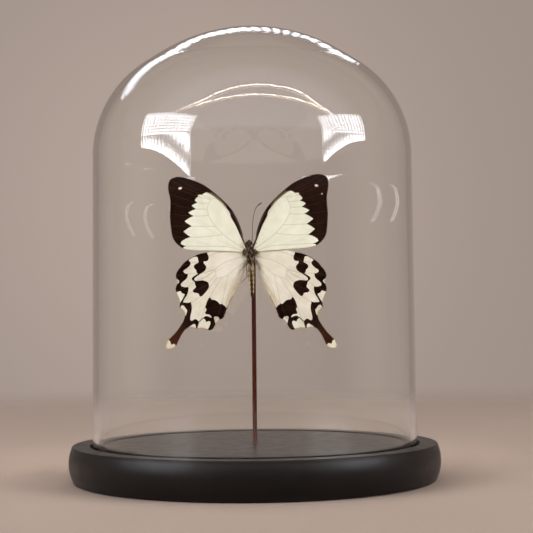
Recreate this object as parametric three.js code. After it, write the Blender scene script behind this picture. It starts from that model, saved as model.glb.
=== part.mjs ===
// A set swallowtail butterfly on a thin rod, under a glass cloche on a turned wooden base.
// Millimetres, +Z up. The origin is the centre of the base's underside.
// The butterfly's back faces -Y, and its own left is at -X.
import * as THREE from 'three';

// ---- driving dimensions ----
const RING_SEGMENTS = 56;

const BASE_RADIUS = 100;
const BASE_HEIGHT = 19;
const BASE_TOP_EDGE_RADIUS = 98.4;
const BASE_FOOT_RADIUS = 97.8;
const BASE_EDGE_ROUNDING = 0.9;
const BASE_CURVE_STEPS = 4;
const GROOVE_INNER_RADIUS = 81.3;
const GROOVE_OUTER_RADIUS = 88.8;
const GROOVE_DEPTH = 5;

const CLEARANCE = 0.3;
const GLASS_RADIUS = 87.4;
const GLASS_WALL = 3;
const GLASS_SHOULDER_HEIGHT = 175;
const SHOULDER_ARC = { radius: 58.6, endAngle: 53, steps: 8 };
const FLANK_ARC = { radius: 216, endAngle: 57, steps: 1 };
const CROWN_STEPS = 5;

const ROD_RADIUS = 1.2;
const ROD_HOLE_DEPTH = 7;
const ROD_TOP = 121;
const ROD_SIDES = 12;

// The butterfly hangs on the rod a little left of the dome's axis.
const INSECT_X = -1.6;
const INSECT_Z = 122;
const BODY_TILT = 1.9;
// Half sizes across, in depth and along the body, and places from the middle of the thorax.
const HEAD = { half: [1.9, 1.6, 2.0], place: [-0.5, -3.8, 5.1], rings: 8, segments: 12 };
const THORAX = { half: [2.6, 2.6, 3.9], place: [0, -3.7, -1.3], rings: 10, segments: 16 };
const WAIST = [0, -3.1, -5.6];
const ABDOMEN_SEGMENTS = 12;
// Radius of the abdomen at each distance below its waist.
const ABDOMEN_RINGS = [
  [0, 0], [1.0, 0.3], [1.4, 2.5], [1.5, 6], [1.4, 10], [1.2, 14], [0.8, 17.8], [0, 19.2],
];
const WING_THICKNESS = 0.35;
const WING_OUTLINE_STEPS = 2;
// Each pair of wings is set on its own line: sideways shift, tilt and depth.
const FOREWING_SET = { shift: -0.3, tilt: 0.7, front: -4.05 };
const HINDWING_SET = { shift: 0.4, tilt: -0.3, front: -3.35 };

const LEG_RADIUS = 0.22;
const LEG_SIDES = 5;
const LEG_STEPS = 12;
const ANTENNA_RADIUS = 0.25;
const ANTENNA_SIDES = 6;
const ANTENNA_STEPS = 14;

// ---- finishes ----
const finishes = {
  blackWood: { color: 0x1c1614, roughness: 0.45, metalness: 0 },
  clearGlass: { color: 0xeef2f0, roughness: 0.02, metalness: 0, transparent: true, opacity: 0.3 },
  brownRod: { color: 0x4a2a22, roughness: 0.5, metalness: 0 },
  paleWing: { color: 0xe8e2cb, roughness: 0.85, metalness: 0 },
  bodyHair: { color: 0x4a4034, roughness: 0.95, metalness: 0 },
  abdomen: { color: 0xc9b98c, roughness: 0.9, metalness: 0 },
  darkHorn: { color: 0x2a1b14, roughness: 0.6, metalness: 0 },
};

const object = new THREE.Group();

const insect = new THREE.Group();
insect.position.set(INSECT_X, 0, INSECT_Z);
object.add(insect);

// Adds a named solid with its finish to a group.
function addSolid(group, name, geometry, finish) {
  const mesh = new THREE.Mesh(geometry, new THREE.MeshStandardMaterial(finishes[finish]));
  mesh.name = name;
  group.add(mesh);
  return mesh;
}

// Turns a profile of (radius, height) points about the Z axis.
function turned(profile, segments) {
  const geometry = new THREE.LatheGeometry(profile, segments);
  geometry.rotateX(Math.PI / 2);
  return geometry;
}

// An egg shape with its poles on Z.
function eggShape(egg) {
  const geometry = new THREE.SphereGeometry(1, egg.segments, egg.rings);
  geometry.rotateX(Math.PI / 2);
  geometry.scale(...egg.half);
  return geometry;
}

// A round thread through the given points.
function thread(points, radius, sides, steps) {
  const path = new THREE.CatmullRomCurve3(points.map((point) => new THREE.Vector3(...point)));
  const section = new THREE.Shape();
  for (let side = 0; side < sides; side += 1) {
    const angle = (2 * Math.PI * side) / sides;
    const place = [radius * Math.cos(angle), radius * Math.sin(angle)];
    if (side === 0) section.moveTo(...place);
    else section.lineTo(...place);
  }
  section.closePath();
  return new THREE.ExtrudeGeometry(section, { extrudePath: path, steps, bevelEnabled: false });
}

// ---- base: one turned piece, with a groove for the glass and a hole for the rod ----
function makeBase() {
  const edge = BASE_EDGE_ROUNDING;
  const holeRadius = ROD_RADIUS + CLEARANCE;
  const holeFloor = BASE_HEIGHT - ROD_HOLE_DEPTH;
  const grooveFloor = BASE_HEIGHT - GROOVE_DEPTH;
  const middle = BASE_HEIGHT / 2;
  // A quadratic curve passes half way to its control point, so this one bulges to BASE_RADIUS.
  const bulge = 2 * BASE_RADIUS - (BASE_TOP_EDGE_RADIUS + BASE_FOOT_RADIUS) / 2;
  const outline = new THREE.Path();
  outline.moveTo(0, 0);
  outline.lineTo(BASE_FOOT_RADIUS - edge, 0);
  outline.quadraticCurveTo(BASE_FOOT_RADIUS, 0, BASE_FOOT_RADIUS, edge);
  outline.quadraticCurveTo(bulge, middle, BASE_TOP_EDGE_RADIUS, BASE_HEIGHT - edge);
  outline.quadraticCurveTo(BASE_TOP_EDGE_RADIUS, BASE_HEIGHT, BASE_TOP_EDGE_RADIUS - edge, BASE_HEIGHT);
  outline.lineTo(GROOVE_OUTER_RADIUS, BASE_HEIGHT);
  outline.lineTo(GROOVE_OUTER_RADIUS, grooveFloor);
  outline.lineTo(GROOVE_INNER_RADIUS, grooveFloor);
  outline.lineTo(GROOVE_INNER_RADIUS, BASE_HEIGHT);
  outline.lineTo(holeRadius, BASE_HEIGHT);
  outline.lineTo(holeRadius, holeFloor);
  outline.lineTo(0, holeFloor);
  addSolid(object, 'base', turned(outline.getPoints(BASE_CURVE_STEPS), RING_SEGMENTS), 'blackWood');
}

// ---- glass dome: straight wall, shoulder arc, short flank and crown, of one thickness ----
function domeWall(inset) {
  const toRadians = Math.PI / 180;
  const shoulderCos = Math.cos(SHOULDER_ARC.endAngle * toRadians);
  const flankCos = Math.cos(FLANK_ARC.endAngle * toRadians);
  const reach = GLASS_RADIUS - SHOULDER_ARC.radius * (1 - shoulderCos);
  const crownRadius = (reach - FLANK_ARC.radius * (shoulderCos - flankCos)) / flankCos;
  const crown = { radius: crownRadius, endAngle: 90, steps: CROWN_STEPS };
  let centre = new THREE.Vector2(GLASS_RADIUS - SHOULDER_ARC.radius, GLASS_SHOULDER_HEIGHT);
  let startAngle = 0;
  let lastRadius = SHOULDER_ARC.radius;
  const points = [new THREE.Vector2(GLASS_RADIUS - inset, GLASS_SHOULDER_HEIGHT)];
  for (const arc of [SHOULDER_ARC, FLANK_ARC, crown]) {
    const start = startAngle * toRadians;
    const sweep = (arc.endAngle - startAngle) * toRadians;
    const direction = new THREE.Vector2(Math.cos(start), Math.sin(start));
    // Neighbouring arcs share their tangent, so the new centre lies on the old radius.
    centre = centre.clone().addScaledVector(direction, lastRadius - arc.radius);
    for (let step = 1; step <= arc.steps; step += 1) {
      const angle = start + (sweep * step) / arc.steps;
      const radius = arc.radius - inset;
      const across = Math.max(0, centre.x + radius * Math.cos(angle));
      points.push(new THREE.Vector2(across, centre.y + radius * Math.sin(angle)));
    }
    startAngle = arc.endAngle;
    lastRadius = arc.radius;
  }
  points[points.length - 1].x = 0;
  return points;
}

function makeDome() {
  const foot = BASE_HEIGHT - GROOVE_DEPTH + CLEARANCE;
  const outer = [new THREE.Vector2(GLASS_RADIUS, foot), ...domeWall(0)];
  const inner = [new THREE.Vector2(GLASS_RADIUS - GLASS_WALL, foot), ...domeWall(GLASS_WALL)];
  const profile = [...inner.reverse(), ...outer];
  addSolid(object, 'glass_dome', turned(profile, RING_SEGMENTS), 'clearGlass');
}

// ---- rod: glued in the base, its upper end against the thorax ----
function makeRod() {
  const bottom = BASE_HEIGHT - ROD_HOLE_DEPTH + CLEARANCE;
  const length = ROD_TOP - bottom;
  const geometry = new THREE.CylinderGeometry(ROD_RADIUS, ROD_RADIUS, length, ROD_SIDES);
  geometry.rotateX(Math.PI / 2);
  addSolid(object, 'rod', geometry, 'brownRod').position.z = bottom + length / 2;
}

// ---- wings: (outward, up) from the middle of the thorax, along the margin from the root ----
const FOREWING_MARGIN = [
  [3.4, 4.6], [3.3, 7.6], [3.8, 10.8], [5.3, 15.8], [8.5, 22.4], [12.1, 27.0], [17.4, 32.1],
  [23.7, 37.2], [29.2, 39.9], [33.8, 41.6], [37.9, 42.3], [40.7, 41.9], [43.0, 40.3],
  [43.8, 37.1], [43.5, 33.7], [42.8, 30.1], [42.8, 25.5], [43.1, 21.0], [42.7, 14.7],
  [42.0, 9.9], [40.8, 7.2], [38.5, 4.7], [35.5, 2.9], [29.8, 1.9], [23.3, 1.6], [12.0, 0.9],
  [4.2, 0.4],
];
const HINDWING_MARGIN = [
  [3.6, 1.0], [8.0, 3.2], [14.5, 2.9], [21.1, 0.9], [24.8, 0.1], [29.0, -0.9], [33.3, -3.1],
  [36.4, -5.3], [38.3, -7.6], [39.9, -9.6], [41.0, -12.2], [40.4, -14.5], [39.7, -15.7],
  [40.4, -17.2], [41.1, -19.6], [40.6, -21.6], [39.9, -23.2], [38.9, -25.8], [38.8, -29.6],
  [38.0, -30.5], [36.4, -32.0], [36.0, -33.6], [36.7, -36.6], [38.6, -39.9], [41.1, -43.3],
  [43.8, -46.1], [45.3, -47.7], [46.3, -50.6], [45.1, -52.0], [42.4, -51.5], [40.8, -50.1],
  [39.9, -48.2], [37.8, -44.1], [35.6, -41.4], [33.0, -40.4], [29.5, -41.1], [26.4, -40.8],
  [23.4, -41.9], [21.6, -41.8], [20.1, -40.0], [19.2, -38.0], [17.7, -36.5], [15.4, -35.4],
  [14.4, -33.2], [13.4, -30.3], [11.3, -25.9], [8.8, -20.8], [6.3, -16.1], [4.8, -13.0],
  [3.9, -8.5], [3.5, -4.0],
];

function makeWing(name, margin, set, side) {
  const places = margin.map(([outward, up]) => new THREE.Vector2(side * outward, up));
  const curve = new THREE.SplineCurve(places);
  const outline = new THREE.Shape(curve.getPoints(places.length * WING_OUTLINE_STEPS));
  const plate = { depth: WING_THICKNESS, bevelEnabled: false };
  const geometry = new THREE.ExtrudeGeometry(outline, plate);
  geometry.rotateX(Math.PI / 2);
  const wing = addSolid(insect, name, geometry, 'paleWing');
  wing.position.set(set.shift, set.front, 0);
  wing.rotation.y = THREE.MathUtils.degToRad(-set.tilt);
}

// ---- body: head, thorax and abdomen along one line that leans to the insect's left ----
function makeBody() {
  const body = new THREE.Group();
  body.rotation.y = THREE.MathUtils.degToRad(-BODY_TILT);
  insect.add(body);
  addSolid(body, 'head', eggShape(HEAD), 'bodyHair').position.set(...HEAD.place);
  addSolid(body, 'thorax', eggShape(THORAX), 'bodyHair').position.set(...THORAX.place);
  const profile = ABDOMEN_RINGS.map(([radius, down]) => new THREE.Vector2(radius, -down)).reverse();
  const abdomen = addSolid(body, 'abdomen', turned(profile, ABDOMEN_SEGMENTS), 'abdomen');
  abdomen.position.set(...WAIST);
}

// ---- antenna: only the right one is left ----
const ANTENNA_PATH = [
  [1.4, -3.9, 6.9], [1.3, -4.1, 11.5], [1.5, -4.5, 17.5], [3.2, -5.2, 24.2], [6.4, -6.0, 27.2],
];

// ---- legs: folded under the thorax, behind the body and the wings ----
const LEG_PATHS = {
  leg_fore_left: [[-0.9, -0.5, 1.2], [-2.2, 1.0, 2.9], [-1.8, 1.3, 4.9], [-1.2, 0.5, 6.3]],
  leg_fore_right: [[0.9, -0.5, 1.2], [1.9, 1.0, 2.9], [1.2, 1.3, 4.9], [0.6, 0.5, 6.3]],
  leg_mid_left: [[-0.6, -0.2, -1.8], [-1.5, 1.0, -6.0], [-1.2, 0.8, -12.0], [-0.6, 0.4, -16.2]],
  leg_mid_right: [[2.8, -0.8, -0.6], [4.6, 1.4, -0.2], [6.4, 1.6, -3.0], [7.6, 1.0, -6.5]],
  leg_hind_left: [[-1.7, -0.9, -3.6], [-2.3, -0.5, -7.4], [-1.9, -0.6, -12.8], [-4.8, -0.3, -15.9]],
  leg_hind_right: [[2.9, -1.2, -3.6], [4.5, 0.9, -6.0], [6.5, 1.2, -8.5], [8.3, 0.8, -12.5]],
};

makeBase();
makeDome();
makeRod();
for (const [sideName, side] of [['left', -1], ['right', 1]]) {
  makeWing(`forewing_${sideName}`, FOREWING_MARGIN, FOREWING_SET, side);
  makeWing(`hindwing_${sideName}`, HINDWING_MARGIN, HINDWING_SET, side);
}
makeBody();
const antenna = thread(ANTENNA_PATH, ANTENNA_RADIUS, ANTENNA_SIDES, ANTENNA_STEPS);
addSolid(insect, 'antenna_right', antenna, 'darkHorn');
for (const [name, path] of Object.entries(LEG_PATHS)) {
  addSolid(insect, name, thread(path, LEG_RADIUS, LEG_SIDES, LEG_STEPS), 'darkHorn');
}

export default object;
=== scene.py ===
"""The looks of a set swallowtail butterfly under a glass dome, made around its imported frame.

Shapes are worked out in millimetres and turned to metres as they are shown.
The butterfly's back faces -Y, its head is up, and its own left is at -X.
"""

import math

import bpy
import numpy as np
from mathutils import Matrix, Vector, noise
from mathutils.geometry import delaunay_2d_cdt


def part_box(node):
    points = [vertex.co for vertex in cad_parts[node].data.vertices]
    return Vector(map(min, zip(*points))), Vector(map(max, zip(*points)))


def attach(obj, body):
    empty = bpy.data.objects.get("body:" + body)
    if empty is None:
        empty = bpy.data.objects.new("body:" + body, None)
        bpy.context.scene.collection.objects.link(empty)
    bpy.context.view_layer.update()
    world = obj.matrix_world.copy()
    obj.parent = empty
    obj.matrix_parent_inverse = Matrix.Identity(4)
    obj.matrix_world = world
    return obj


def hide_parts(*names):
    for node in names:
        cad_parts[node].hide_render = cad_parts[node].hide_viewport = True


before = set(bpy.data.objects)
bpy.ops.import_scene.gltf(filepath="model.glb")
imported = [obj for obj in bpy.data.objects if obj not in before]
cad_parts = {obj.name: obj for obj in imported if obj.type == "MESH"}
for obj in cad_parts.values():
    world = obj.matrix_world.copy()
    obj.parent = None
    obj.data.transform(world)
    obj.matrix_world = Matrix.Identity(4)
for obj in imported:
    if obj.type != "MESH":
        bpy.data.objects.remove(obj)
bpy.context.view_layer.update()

# ---- sizes in millimetres; the outer ones come from the frame ----
MM = 0.001
BASE_BOX = [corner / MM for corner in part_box("base")]
DOME_BOX = [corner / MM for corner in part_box("glass_dome")]
ROD_BOX = [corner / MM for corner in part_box("rod")]

BASE_RADIUS = BASE_BOX[1].x
BASE_HEIGHT = BASE_BOX[1].z
BASE_TOP_EDGE_RADIUS = 98.4
BASE_FOOT_RADIUS = 97.8
BASE_EDGE_ROUNDING = 0.9
GROOVE_INNER_RADIUS = 81.3
GROOVE_OUTER_RADIUS = 88.8
GROOVE_DEPTH = 5.0
GROOVE_ROUNDING = 0.45
ROD_HOLE_RADIUS = 1.5
ROD_HOLE_DEPTH = 7.0
ROD_HOLE_ROUNDING = 0.2

GLASS_RADIUS = DOME_BOX[1].x
GLASS_FOOT = DOME_BOX[0].z
GLASS_WALL = 3.0
GLASS_FOOT_ROUNDING = 1.2
GLASS_SHOULDER_HEIGHT = 175.0
# The radius of each arc of the dome, and the angle at which it ends.
SHOULDER_ARC = (58.6, 53.0)
FLANK_ARC = (216.0, 57.0)
GLASS_STEPS = 256
BASE_STEPS = 192
ROD_STEPS = 24
ROD_END_ROUNDING = 0.3

# The middle of the thorax, the body's lean in degrees, and the thickness of a wing.
INSECT = np.array([-1.6, 0.0, 122.0])
BODY_TILT = 1.9
WING_SHEET = 0.14


# ---- colours and nodes ----
def linear(code):
    """An sRGB hex colour as the linear colour that a shader takes."""
    channels = [int(code[i : i + 2], 16) / 255 for i in (0, 2, 4)]
    return tuple(c / 12.92 if c <= 0.04045 else ((c + 0.055) / 1.055) ** 2.4 for c in channels) + (1.0,)


MIX = "ShaderNodeMix", {"data_type": "RGBA"}
RISE = "ShaderNodeMapRange", {"interpolation_type": "SMOOTHSTEP"}
MATH = "ShaderNodeMath"
STORED = "ShaderNodeAttribute"


def put(tree, kind, *values, **settings):
    """Adds a node of a kind, or of a kind with its usual settings; more settings are its own properties.

    Values fill the inputs in use in their order, or, in a dict, by socket name or number. A value is a
    number, a hex colour, a socket to link, or a node to link by its first output in use.
    """
    kind, usual = (kind, {}) if isinstance(kind, str) else kind
    node = tree.nodes.new(kind)
    for name, value in {**usual, **settings}.items():
        setattr(node, name, value)
    if values and isinstance(values[0], dict):
        given = [(node.inputs[name], value) for name, value in values[0].items()]
    else:
        given = zip([socket for socket in node.inputs if socket.enabled], values)
    for socket, value in given:
        if isinstance(value, bpy.types.Node):
            value = next(output for output in value.outputs if output.enabled)
        if isinstance(value, bpy.types.NodeSocket):
            tree.links.new(value, socket)
        else:
            socket.default_value = linear(value) if socket.type == "RGBA" else value
    return node


def place(tree, scale=(1, 1, 1)):
    """Object coordinates, stretched."""
    coordinates = put(tree, "ShaderNodeTexCoord").outputs["Object"]
    return put(tree, "ShaderNodeMapping", {"Vector": coordinates, "Scale": scale})


def cloud(tree, grain, stretch=(1, 1, 1), detail=3.0, roughness=0.55):
    """Noise from 0 to 1 whose lumps are about grain millimetres wide, divided by stretch on each axis."""
    return put(tree, "ShaderNodeTexNoise", place(tree, stretch), 1 / (grain * MM), detail, roughness)


def layered(tree, colour, *layers):
    """A colour with others laid over it: each is given with its share, or with the terms of a rise for it."""
    for over, *share in layers:
        colour = put(tree, MIX, put(tree, RISE, *share) if len(share) > 1 else share[0], colour, over)
    return colour


def finish_of(name, build, kind="ShaderNodeBsdfPrincipled"):
    """A material whose shader, of that kind, takes what build returns for its node tree."""
    material = bpy.data.materials.new(name)
    material.use_nodes = True
    tree = material.node_tree
    tree.nodes.clear()
    put(tree, "ShaderNodeOutputMaterial", {"Surface": put(tree, kind, build(tree))})
    return material


# ---- materials ----
def black_beech(tree):
    """Beech, turned and stained near black under satin lacquer: a soft sheen, the grain just showing."""
    # Beech rays are under a millimetre wide and run with the plank, here along X.
    grain = cloud(tree, 1.1, (0.06, 1, 1), 5, 0.6)
    boards = cloud(tree, 14, (0.12, 1, 1), 2)
    handling = cloud(tree, 9, detail=4)
    stain = layered(tree, "080605", ("120D0B", grain, 0.35, 0.72), ("19120F", boards, 0.3, 0.75, 0, 0.5))
    return {
        "Base Color": stain,
        "Roughness": put(tree, RISE, handling, 0.25, 0.8, 0.34, 0.44),
        "Specular IOR Level": 0.2,
        "Normal": put(tree, "ShaderNodeBump", {"Height": grain, "Distance": 0.03 * MM, "Strength": 0.35}),
    }


def blown_glass(tree):
    """Clear soda glass, blown and drawn: its faint draw lines run up the wall and soften reflections."""
    # Real draw lines are finer than a millimetre; these are 9 mm wide, so that they show at all.
    drawn = cloud(tree, 9, (1, 1, 0.05), 0)
    return {
        "Base Color": "FEFFFE",
        "Roughness": 0.0,
        "IOR": 1.5,
        "Transmission Weight": 1.0,
        "Normal": put(tree, "ShaderNodeBump", {"Height": drawn, "Distance": 0.004 * MM}),
    }


def lacquered_rod(tree):
    """Drawn steel rod in brown lacquer: dark red-brown with a satin line of light and small runs."""
    runs = cloud(tree, 2.5, (1, 1, 0.25), 4)
    dust = cloud(tree, 0.7, detail=2)
    brown = layered(tree, "2F0F06", ("42190D", runs, 0.3, 0.7), ("6E4534", dust, 0.62, 0.8, 0, 0.3))
    return {
        "Base Color": brown,
        "Roughness": put(tree, RISE, runs, 0.3, 0.7, 0.55, 0.7),
        "Specular IOR Level": 0.08,
        "Normal": put(tree, "ShaderNodeBump", {"Height": runs, "Distance": 0.04 * MM, "Strength": 0.5}),
    }


def wing_scales(ground, shade):
    """Wing membrane under overlapping scales: matt and powdery, with crisp dark marks, sunken veins and
    streaks of painted crease shade.
    """

    def build(tree):
        # Scales are 0.1 mm wide; their rows are drawn about 0.35 mm wide, so that they show.
        rows = cloud(tree, 0.35, detail=2, roughness=0.7)
        blotches = cloud(tree, 7, detail=3)
        streaks = cloud(tree, 0.9, (0.25, 1, 1), 3)
        kinds = ("dark", "olive", "ochre", "warm", "dusk", "vein", "crease_shade", "rim", "under")
        mark = {kind: put(tree, STORED, attribute_name=kind).outputs["Fac"] for kind in kinds}
        pale = layered(
            tree, ground, (shade, blotches, 0.3, 0.7), ("B9AE93", rows, 0.35, 0.65, 0.12, 0),
            # Greyer streaks over the pale scales are painted shade of fine creases in the membrane.
            ("B4AA98", mark["crease_shade"], 0.15, 0.75, 0, 0.3), ("9A927C", mark["vein"], 0.04, 0.34, 0.5, 0),
            ("CDB072", mark["ochre"]), ("4F3E2E", mark["dusk"]),
            ("CBB48C", put(tree, MATH, mark["under"], 0.45, operation="MULTIPLY")),
        )
        dark = layered(
            tree, "100502", ("1F0E08", streaks, 0.35, 0.7), ("3E281D", mark["vein"], 0.05, 0.4, 0.45, 0),
            ("4A3024", rows, 0.55, 0.8, 0, 0.12), ("341A0C", mark["warm"]), ("7D6E57", mark["olive"]),
            ("5B4030", put(tree, MATH, mark["under"], 0.5, operation="MULTIPLY")),
        )
        ragged = put(tree, MATH, rows, 0.22, mark["dark"], operation="MULTIPLY_ADD")
        edge = put(tree, RISE, ragged, 0.03, 0.19)
        fringe = put(tree, MIX, edge, "C9B27C", "3A241A")
        colour = put(tree, MIX, edge, pale, dark)
        return {
            "Base Color": layered(tree, colour, (fringe, mark["rim"], 0.05, 0.3, 0.4, 0)),
            "Roughness": put(tree, RISE, rows, 0.3, 0.7, 0.62, 0.8),
            "Specular IOR Level": 0.03,
            "Normal": put(tree, "ShaderNodeBump", {"Height": rows, "Distance": 0.05 * MM, "Strength": 0.5}),
        }

    return build


def scaly_hair(dark, light, root="140D0A", shine=0.55):
    """Insect hair and hair scales: fine tapered horn, darker at the root, some strands greyed by wear, and
    pale clumps that are partly painted highlight.
    """

    def build(tree):
        tone, along = (put(tree, STORED, attribute_name=kind).outputs["Fac"] for kind in ("tone", "along"))
        tufts = cloud(tree, 1.5, (1, 1, 0.6), 1)
        # Pale clumps of hair, which also serve as painted highlights on the hair.
        worn, pale_clumps_and_highlights = put(tree, RISE, tone, 0.7, 1.0, 0, 0.25), put(tree, RISE, tufts, 0.5, 0.55, 0, 0.9)
        greyed = put(tree, MATH, worn, pale_clumps_and_highlights, operation="ADD")
        return {
            "Base Color": layered(tree, dark, (light, greyed), (root, along, 0.0, 0.6, 0.45, 0)),
            "Roughness": put(tree, RISE, tone, 0, 1, shine, shine + 0.15),
            "Specular IOR Level": 0.15,
        }

    return build


def body_shell(tree):
    """The thorax and head under their hair: rough dark cuticle with dusty grey scales."""
    dust = cloud(tree, 0.6, detail=4)
    return {
        "Base Color": layered(tree, "1A110D", ("4A3D31", dust, 0.4, 0.75)),
        "Roughness": put(tree, RISE, dust, 0.3, 0.7, 0.6, 0.9),
        "Normal": put(tree, "ShaderNodeBump", {"Height": dust, "Distance": 0.12 * MM, "Strength": 0.7}),
    }


def abdomen_scales(tree):
    """Abdomen in flat scales: cream yellow flanks, a dark line down the back beaded at each ring."""
    flecks = cloud(tree, 0.3, detail=3, roughness=0.7)
    blotches = cloud(tree, 1.8, detail=3)
    joint, stripe = (put(tree, STORED, attribute_name=kind).outputs["Fac"] for kind in ("joint", "stripe"))
    worn = ("A8926A", blotches, 0.3, 0.7), ("8A7350", flecks, 0.35, 0.7, 0, 0.5)
    flank = layered(tree, "C9B88E", *worn, ("5A4632", joint))
    dark = layered(tree, "150C08", ("3A281D", flecks, 0.4, 0.75))
    ragged = put(tree, MATH, flecks, 0.3, stripe, operation="MULTIPLY_ADD")
    return {
        "Base Color": layered(tree, flank, (dark, ragged, 0.05, 0.3)),
        "Roughness": put(tree, RISE, flecks, 0.3, 0.7, 0.6, 0.8),
        "Specular IOR Level": 0.15,
        "Normal": put(tree, "ShaderNodeBump", {"Height": flecks, "Distance": 0.06 * MM, "Strength": 0.6}),
    }


def dark_horn(tree):
    """Chitin of legs, antenna and tongue: smooth brown-black horn, browner and duller in places."""
    mottle = cloud(tree, 0.5, detail=3)
    return {
        "Base Color": layered(tree, "1E120D", ("44291C", mottle, 0.35, 0.7)),
        "Roughness": put(tree, RISE, mottle, 0.3, 0.7, 0.35, 0.55),
        "Normal": put(tree, "ShaderNodeBump", {"Height": mottle, "Distance": 0.03 * MM, "Strength": 0.5}),
    }


def compound_eye(tree):
    """A dried compound eye: glossy dark brown with a fine honeycomb of facets and a dull bloom."""
    # Facets are 0.03 mm wide; these are 0.12 mm, so that they can be seen.
    facets = put(tree, "ShaderNodeTexVoronoi", {"Vector": place(tree), "Scale": 1 / (0.12 * MM)})
    bloom = cloud(tree, 0.8, detail=2)
    return {
        "Base Color": layered(tree, "150C09", ("33221A", bloom, 0.35, 0.75)),
        "Roughness": put(tree, RISE, bloom, 0.3, 0.7, 0.15, 0.35),
        "Normal": put(tree, "ShaderNodeBump", {"Height": facets, "Distance": 0.02 * MM, "Strength": 0.6}),
    }


def pale_floor(tree):
    """Matt painted board that fades out into the backdrop's own colour."""
    mottle = cloud(tree, 120, detail=2)
    return {
        "Base Color": layered(tree, "B2A298", ("AEA096", mottle)),
        "Roughness": 0.9,
        "Specular IOR Level": 0.2,
    }


BEECH = finish_of("beech turned, stained black, satin lacquer", black_beech)
GLASS = finish_of("clear glass, blown", blown_glass)
ROD = finish_of("steel rod, brown lacquer", lacquered_rod)
FOREWING_SCALES = finish_of("forewing membrane, cream and brown scales", wing_scales("DFDFD4", "D2D6C7"))
HINDWING_SCALES = finish_of("hindwing membrane, cream and brown scales", wing_scales("DBD8CF", "CFCABD"))
SHELL = finish_of("cuticle, dusty and dark", body_shell)
ABDOMEN = finish_of("abdomen cuticle, flat cream scales", abdomen_scales)
HORN = finish_of("chitin, smooth dark horn", dark_horn)
EYE = finish_of("compound eye, dried", compound_eye)
THORAX_HAIR = finish_of("hair, dark brown and grey", scaly_hair("26130B", "C6AE90"))
HEAD_HAIR = finish_of("hair, brown and grey", scaly_hair("4E3023", "D8C0A4", "20120C"))
SHOULDER_HAIR = finish_of("hair, brown and buff", scaly_hair("6E5640", "D2C0A2", "2A1D15"))
DARK_FRINGE = finish_of("wing fringe, brown", scaly_hair("22130E", "4A3226"))
PALE_FRINGE = finish_of("wing fringe, cream", scaly_hair("C9B68C", "E2D8BC", "C9B68C"))


# ---- shapes ----
def bend(start, control, end, steps=6):
    """Points along the parabola that leaves start and reaches end, both aimed at control."""
    start, control, end = (np.array(p, float) for p in (start, control, end))
    shares = np.linspace(0, 1, steps + 1)[:, None]
    return list((1 - shares) ** 2 * start + 2 * shares * (1 - shares) * control + shares**2 * end)


def held(profile, hold=0.25, longest=3.5):
    """The profile with a point near both ends of each long stretch, so that its shading stays even."""
    points = [np.array(profile[0], float)]
    for target in profile[1:]:
        start, target = points[-1], np.array(target, float)
        length = np.linalg.norm(target - start)
        if length > longest:
            step = (target - start) / length * hold
            points += [start + step, target - step]
        points.append(target)
    return points


def through(given, step):
    """Points about step apart along the smooth curve through the given ones."""
    given = np.array(given, float)
    padded = np.concatenate([given[:1], given, given[-1:]])
    points = []
    for before, start, end, after in zip(padded, padded[1:], padded[2:], padded[3:]):
        count = max(1, round(np.linalg.norm(end - start) / step))
        for t in np.arange(count)[:, None] / count:
            slope = (end - before) * t + (2 * before - 5 * start + 4 * end - after) * t**2
            points.append(start + (slope + (3 * start - before - 3 * end + after) * t**3) / 2)
    return np.concatenate([np.array(points).reshape(-1, given.shape[1]), given[-1:]])


def outward(points, faces):
    """A closed shape with its faces turned outward."""
    volume = 0.0
    for face in faces:
        a = points[face[0]]
        for b, c in zip(face[1:], face[2:]):
            volume += np.dot(a, np.cross(points[b], points[c]))
    return points, faces if volume > 0 else [tuple(reversed(face)) for face in faces]


def skin(rings):
    """A closed shape over a stack of equal rings; a ring of one point closes an end."""
    points = np.concatenate(rings)
    starts = np.cumsum([0] + [len(ring) for ring in rings])
    faces = []
    for low, high, first, second in zip(starts, starts[1:], rings, rings[1:]):
        sides = max(len(first), len(second))
        for i in range(sides):
            j = (i + 1) % sides
            bottom = [low + i, low + j] if len(first) > 1 else [low]
            top = [high + j, high + i] if len(second) > 1 else [high]
            faces.append(tuple(int(k) for k in bottom + top))
    return outward(points, faces)


def turned(profile, steps):
    """A profile of (radius, height) points, both ends on the axis, turned about Z."""
    angles = np.linspace(0, 2 * math.pi, steps, endpoint=False)
    circle = np.stack([np.cos(angles), np.sin(angles)], 1)
    rings = []
    for radius, height in profile:
        if radius < 1e-6:
            rings.append(np.array([[0, 0, height]]))
        else:
            rings.append(np.concatenate([circle * radius, np.full((steps, 1), height)], 1))
    return skin(rings)


def tube(path, radii, sides=10):
    """A round-ended tube along a path, with its radius at each point."""
    path = np.array(path, float)
    radii = np.broadcast_to(radii, len(path)).astype(float)
    ways = np.gradient(path, axis=0)
    ways /= np.linalg.norm(ways, axis=1)[:, None]
    angles = np.linspace(0, 2 * math.pi, sides, endpoint=False)
    side = np.cross(ways[0], (0.3, 1.0, 0.2))
    rings = [path[:1] - ways[:1] * radii[0] * 0.6]
    for point, way, radius in zip(path, ways, radii):
        side = side - way * np.dot(side, way)
        side = side / np.linalg.norm(side)
        other = np.cross(way, side)
        rings.append(point + radius * (np.outer(np.cos(angles), side) + np.outer(np.sin(angles), other)))
    rings.append(path[-1:] + ways[-1:] * radii[-1] * 0.6)
    return skin(rings)


def egg(centre, half, lump=0.0, lump_size=1.0, rings=28, sides=40):
    """An egg of the given half sizes with its poles on Z, its skin moved by up to lump."""
    stack = []
    for polar in np.linspace(0, math.pi, rings):
        count = 1 if polar in (0, math.pi) else sides
        around = np.linspace(0, 2 * math.pi, count, endpoint=False)
        flat = math.sin(polar)
        unit = np.stack([flat * np.cos(around), flat * np.sin(around), np.full(count, math.cos(polar))], 1)
        swell = [1 + lump * noise.noise(Vector(p) / lump_size) for p in unit * half]
        stack.append(np.array(centre) + unit * half * np.array(swell)[:, None])
    return skin(stack)


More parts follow.
